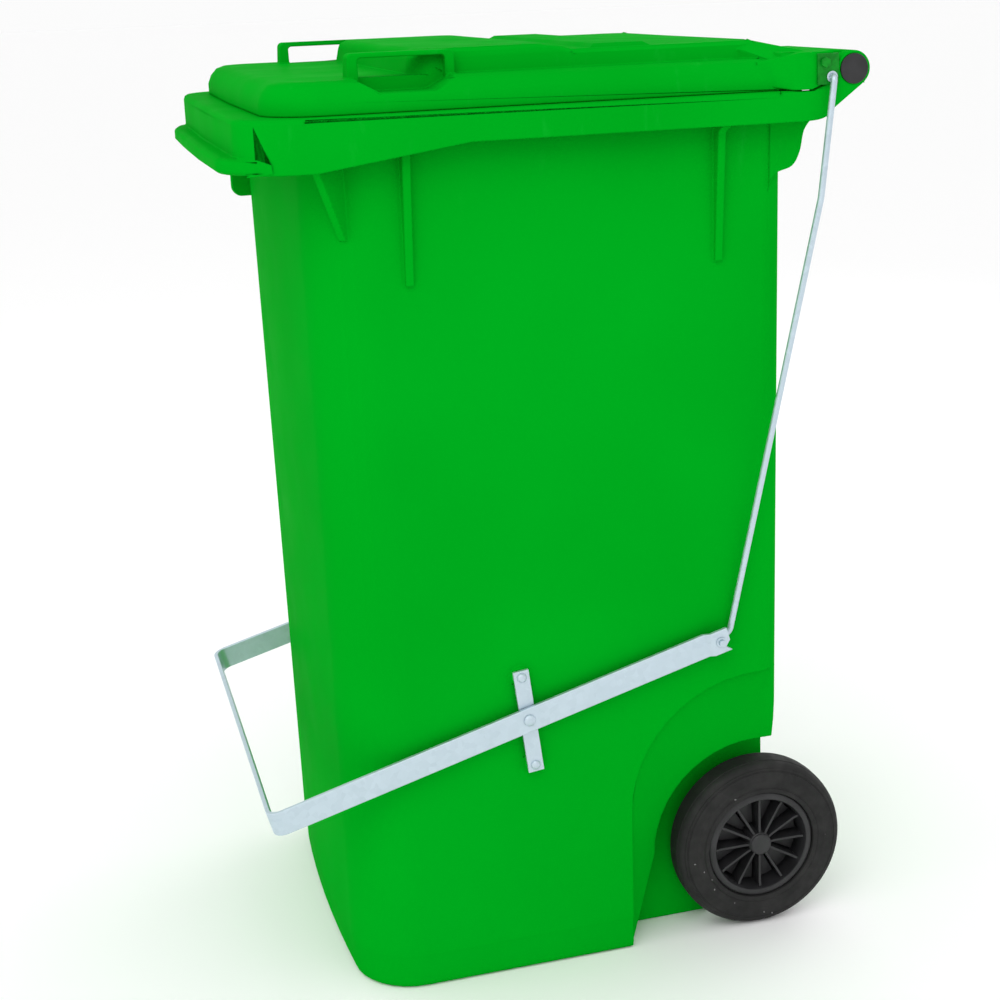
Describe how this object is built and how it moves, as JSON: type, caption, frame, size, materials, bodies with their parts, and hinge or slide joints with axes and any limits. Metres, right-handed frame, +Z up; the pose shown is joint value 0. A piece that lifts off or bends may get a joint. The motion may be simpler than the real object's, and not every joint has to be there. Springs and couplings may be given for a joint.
{
  "type": "wheelie bin",
  "caption": "Tall two-wheeled waste bin with a hinged domed lid, a rear handle bar and a foot-pedal linkage that lifts the lid.",
  "frame": {"origin": "on the floor, under the centre of the whole bin", "axes": "+Z up, -Y towards the pedal and the front lip, +Y towards the wheels and the handle bar, X along the axle"},
  "size_m": [0.6068, 0.685, 1.047],
  "materials": {
    "green_plastic": "moulded polyethylene, fine satin grain",
    "black_plastic": "moulded, satin",
    "rubber": "solid rubber, matt",
    "steel": "bright drawn steel",
    "galvanised_steel": "zinc-coated flat bar and rod, dull",
    "green_paint": "steel painted dark green"
  },
  "bodies": {
    "body": {"body_shell": "green_plastic", "handle_bar": "green_plastic", "bar_plug_left": "black_plastic", "bar_plug_right": "black_plastic", "axle": "steel", "axle_spacers": "steel", "axle_clips": "steel", "pivot_strap_left": "galvanised_steel", "pivot_strap_right": "galvanised_steel", "strap_bolts": "galvanised_steel", "strap_nuts": "galvanised_steel", "pivot_rivets": "galvanised_steel", "pivot_washers": "galvanised_steel"},
    "lid": {"lid": "green_plastic", "lug_plate_left": "green_paint", "lug_plate_right": "green_paint", "lug_bolts": "green_paint", "lug_nuts": "galvanised_steel"},
    "pedal": {"pedal_bar": "galvanised_steel"},
    "left_rod": {"push_rod_left": "galvanised_steel", "rod_clips_left": "galvanised_steel"},
    "right_rod": {"push_rod_right": "galvanised_steel", "rod_clips_right": "galvanised_steel"},
    "left_wheel": {"wheel_hub_left": "black_plastic", "tyre_left": "rubber", "hub_cap_left": "black_plastic"},
    "right_wheel": {"wheel_hub_right": "black_plastic", "tyre_right": "rubber", "hub_cap_right": "black_plastic"}
  },
  "joints": [
    {"name": "lid_hinge", "type": "hinge", "parent": "body", "child": "lid", "pos_m": [0, 0.32354, 1.009], "axis": [-1, 0, 0], "range_deg": [0, 80]},
    {"name": "pedal_pivot", "type": "hinge", "parent": "body", "child": "pedal", "pos_m": [0, -0.04747, 0.318], "axis": [1, 0, 0], "range_deg": [-0.5, 11]},
    {"name": "left_rod_pivot", "type": "hinge", "parent": "pedal", "child": "left_rod", "pos_m": [0, 0.17835, 0.37935], "axis": [1, 0, 0], "range_deg": [-13, 0.5]},
    {"name": "right_rod_pivot", "type": "hinge", "parent": "pedal", "child": "right_rod", "pos_m": [0, 0.17835, 0.37935], "axis": [1, 0, 0], "range_deg": [-13, 0.5]},
    {"name": "left_wheel_spin", "type": "hinge", "parent": "body", "child": "left_wheel", "pos_m": [0, 0.23853, 0.104], "axis": [1, 0, 0], "continuous": true},
    {"name": "right_wheel_spin", "type": "hinge", "parent": "body", "child": "right_wheel", "pos_m": [0, 0.23853, 0.104], "axis": [1, 0, 0], "continuous": true}
  ],
  "couplings": [
    {"joint": "pedal_pivot", "follows": "lid_hinge", "ratio": 0.12616},
    {"joint": "left_rod_pivot", "follows": "lid_hinge", "ratio": -0.15467},
    {"joint": "right_rod_pivot", "follows": "lid_hinge", "ratio": -0.15467}
  ]
}
